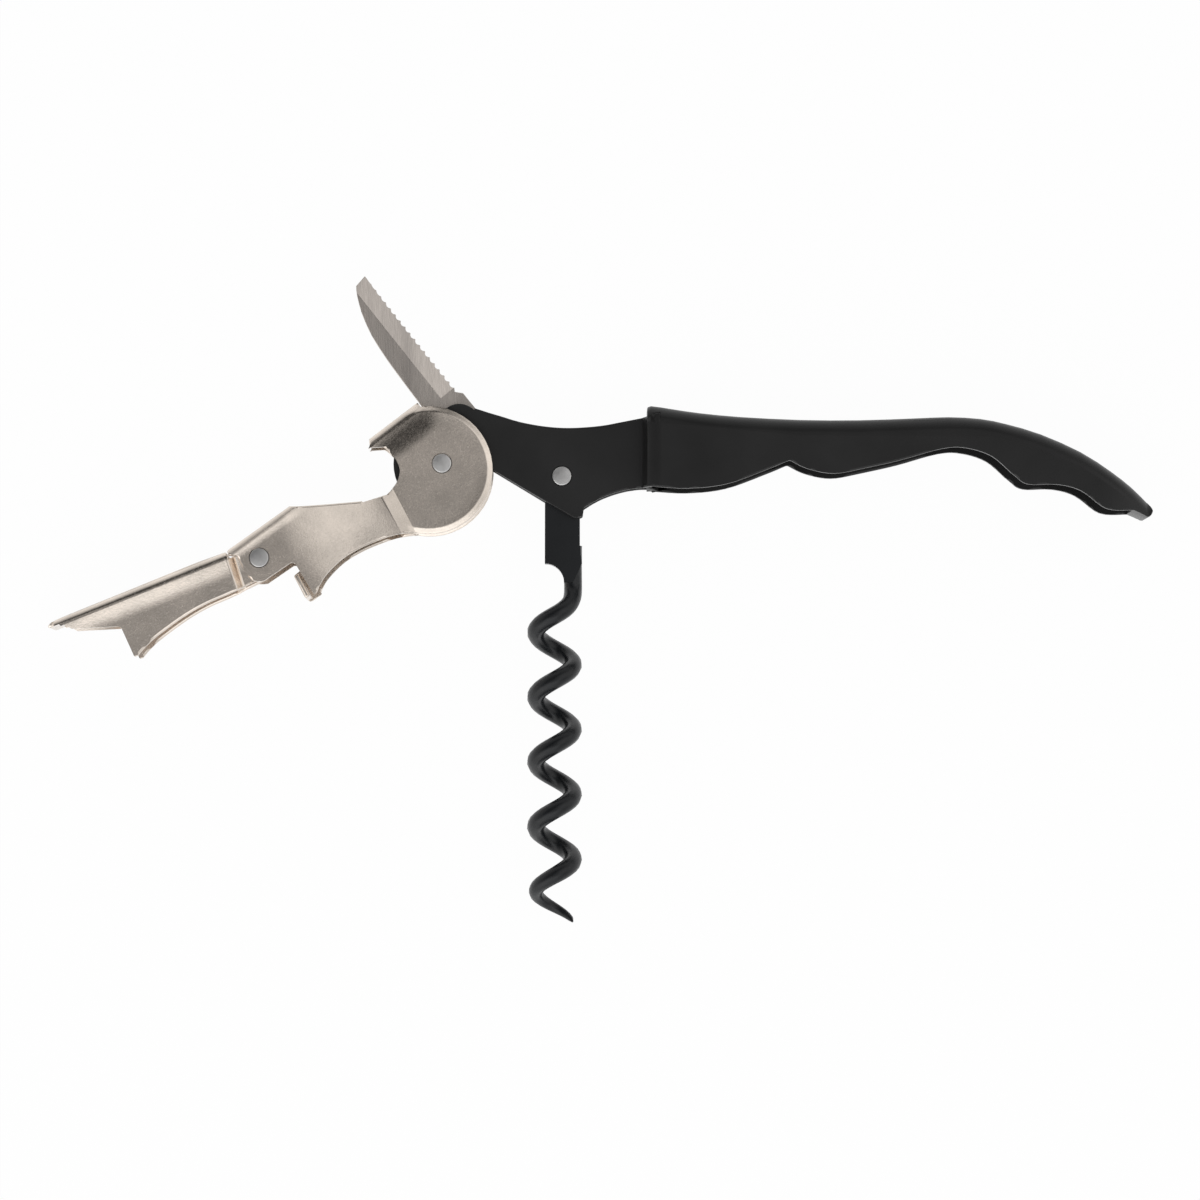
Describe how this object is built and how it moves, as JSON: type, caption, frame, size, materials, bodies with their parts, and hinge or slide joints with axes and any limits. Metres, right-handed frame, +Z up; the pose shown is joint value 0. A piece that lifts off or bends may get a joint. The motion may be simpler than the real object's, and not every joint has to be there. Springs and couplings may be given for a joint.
{
  "type": "waiter's friend corkscrew",
  "caption": "Waiter's friend corkscrew, opened out: folded sheet handle, spiral worm, serrated foil knife, and a jointed bottle lever with a cap opener.",
  "frame": {"origin": "middle of the footprint of the opened-out tool, on the surface its side lies on", "axes": "+X along the grip towards its nose, +Y towards the handle's back, away from the worm, +Z up through the tool's thickness, parallel to every rivet"},
  "size_m": [0.1718, 0.1012, 0.0134],
  "materials": {
    "handle_black": "satin black paint on pressed steel sheet",
    "worm_black": "smooth black non-stick coating on steel wire",
    "lever_nickel": "satin nickel plate, slightly warm, tumbled",
    "knife_steel": "ground steel",
    "rivet_steel": "plain bright steel",
    "spring_steel": "plain spring steel"
  },
  "bodies": {
    "handle": {"handle": "handle_black", "back_spring": "spring_steel", "lever_rivet": "rivet_steel", "knife_rivet": "rivet_steel", "knife_washer_front": "spring_steel", "knife_washer_back": "spring_steel", "worm_rivet": "rivet_steel"},
    "knife": {"knife": "knife_steel"},
    "worm": {"worm": "worm_black"},
    "lever_arm": {"lever_arm": "lever_nickel", "knee_rivet": "rivet_steel"},
    "lever_jaw": {"lever_jaw": "lever_nickel"}
  },
  "joints": [
    {"name": "lever_swing", "type": "hinge", "parent": "handle", "child": "lever_arm", "pos_m": [-0.02476, 0.02093, 0.0067], "axis": [0, 0, 1], "range_deg": [0, 55]},
    {"name": "knee_fold", "type": "hinge", "parent": "lever_arm", "child": "lever_jaw", "pos_m": [-0.05312, 0.0061, 0.0067], "axis": [0, 0, 1], "range_deg": [0, 35]},
    {"name": "knife_fold", "type": "hinge", "parent": "handle", "child": "knife", "pos_m": [-0.02211, 0.02703, 0.0067], "axis": [0, 0, 1], "range_deg": [-127, 0]},
    {"name": "worm_fold", "type": "hinge", "parent": "handle", "child": "worm", "pos_m": [-0.00606, 0.01903, 0.0067], "axis": [0, 0, 1], "range_deg": [0, 93]}
  ]
}
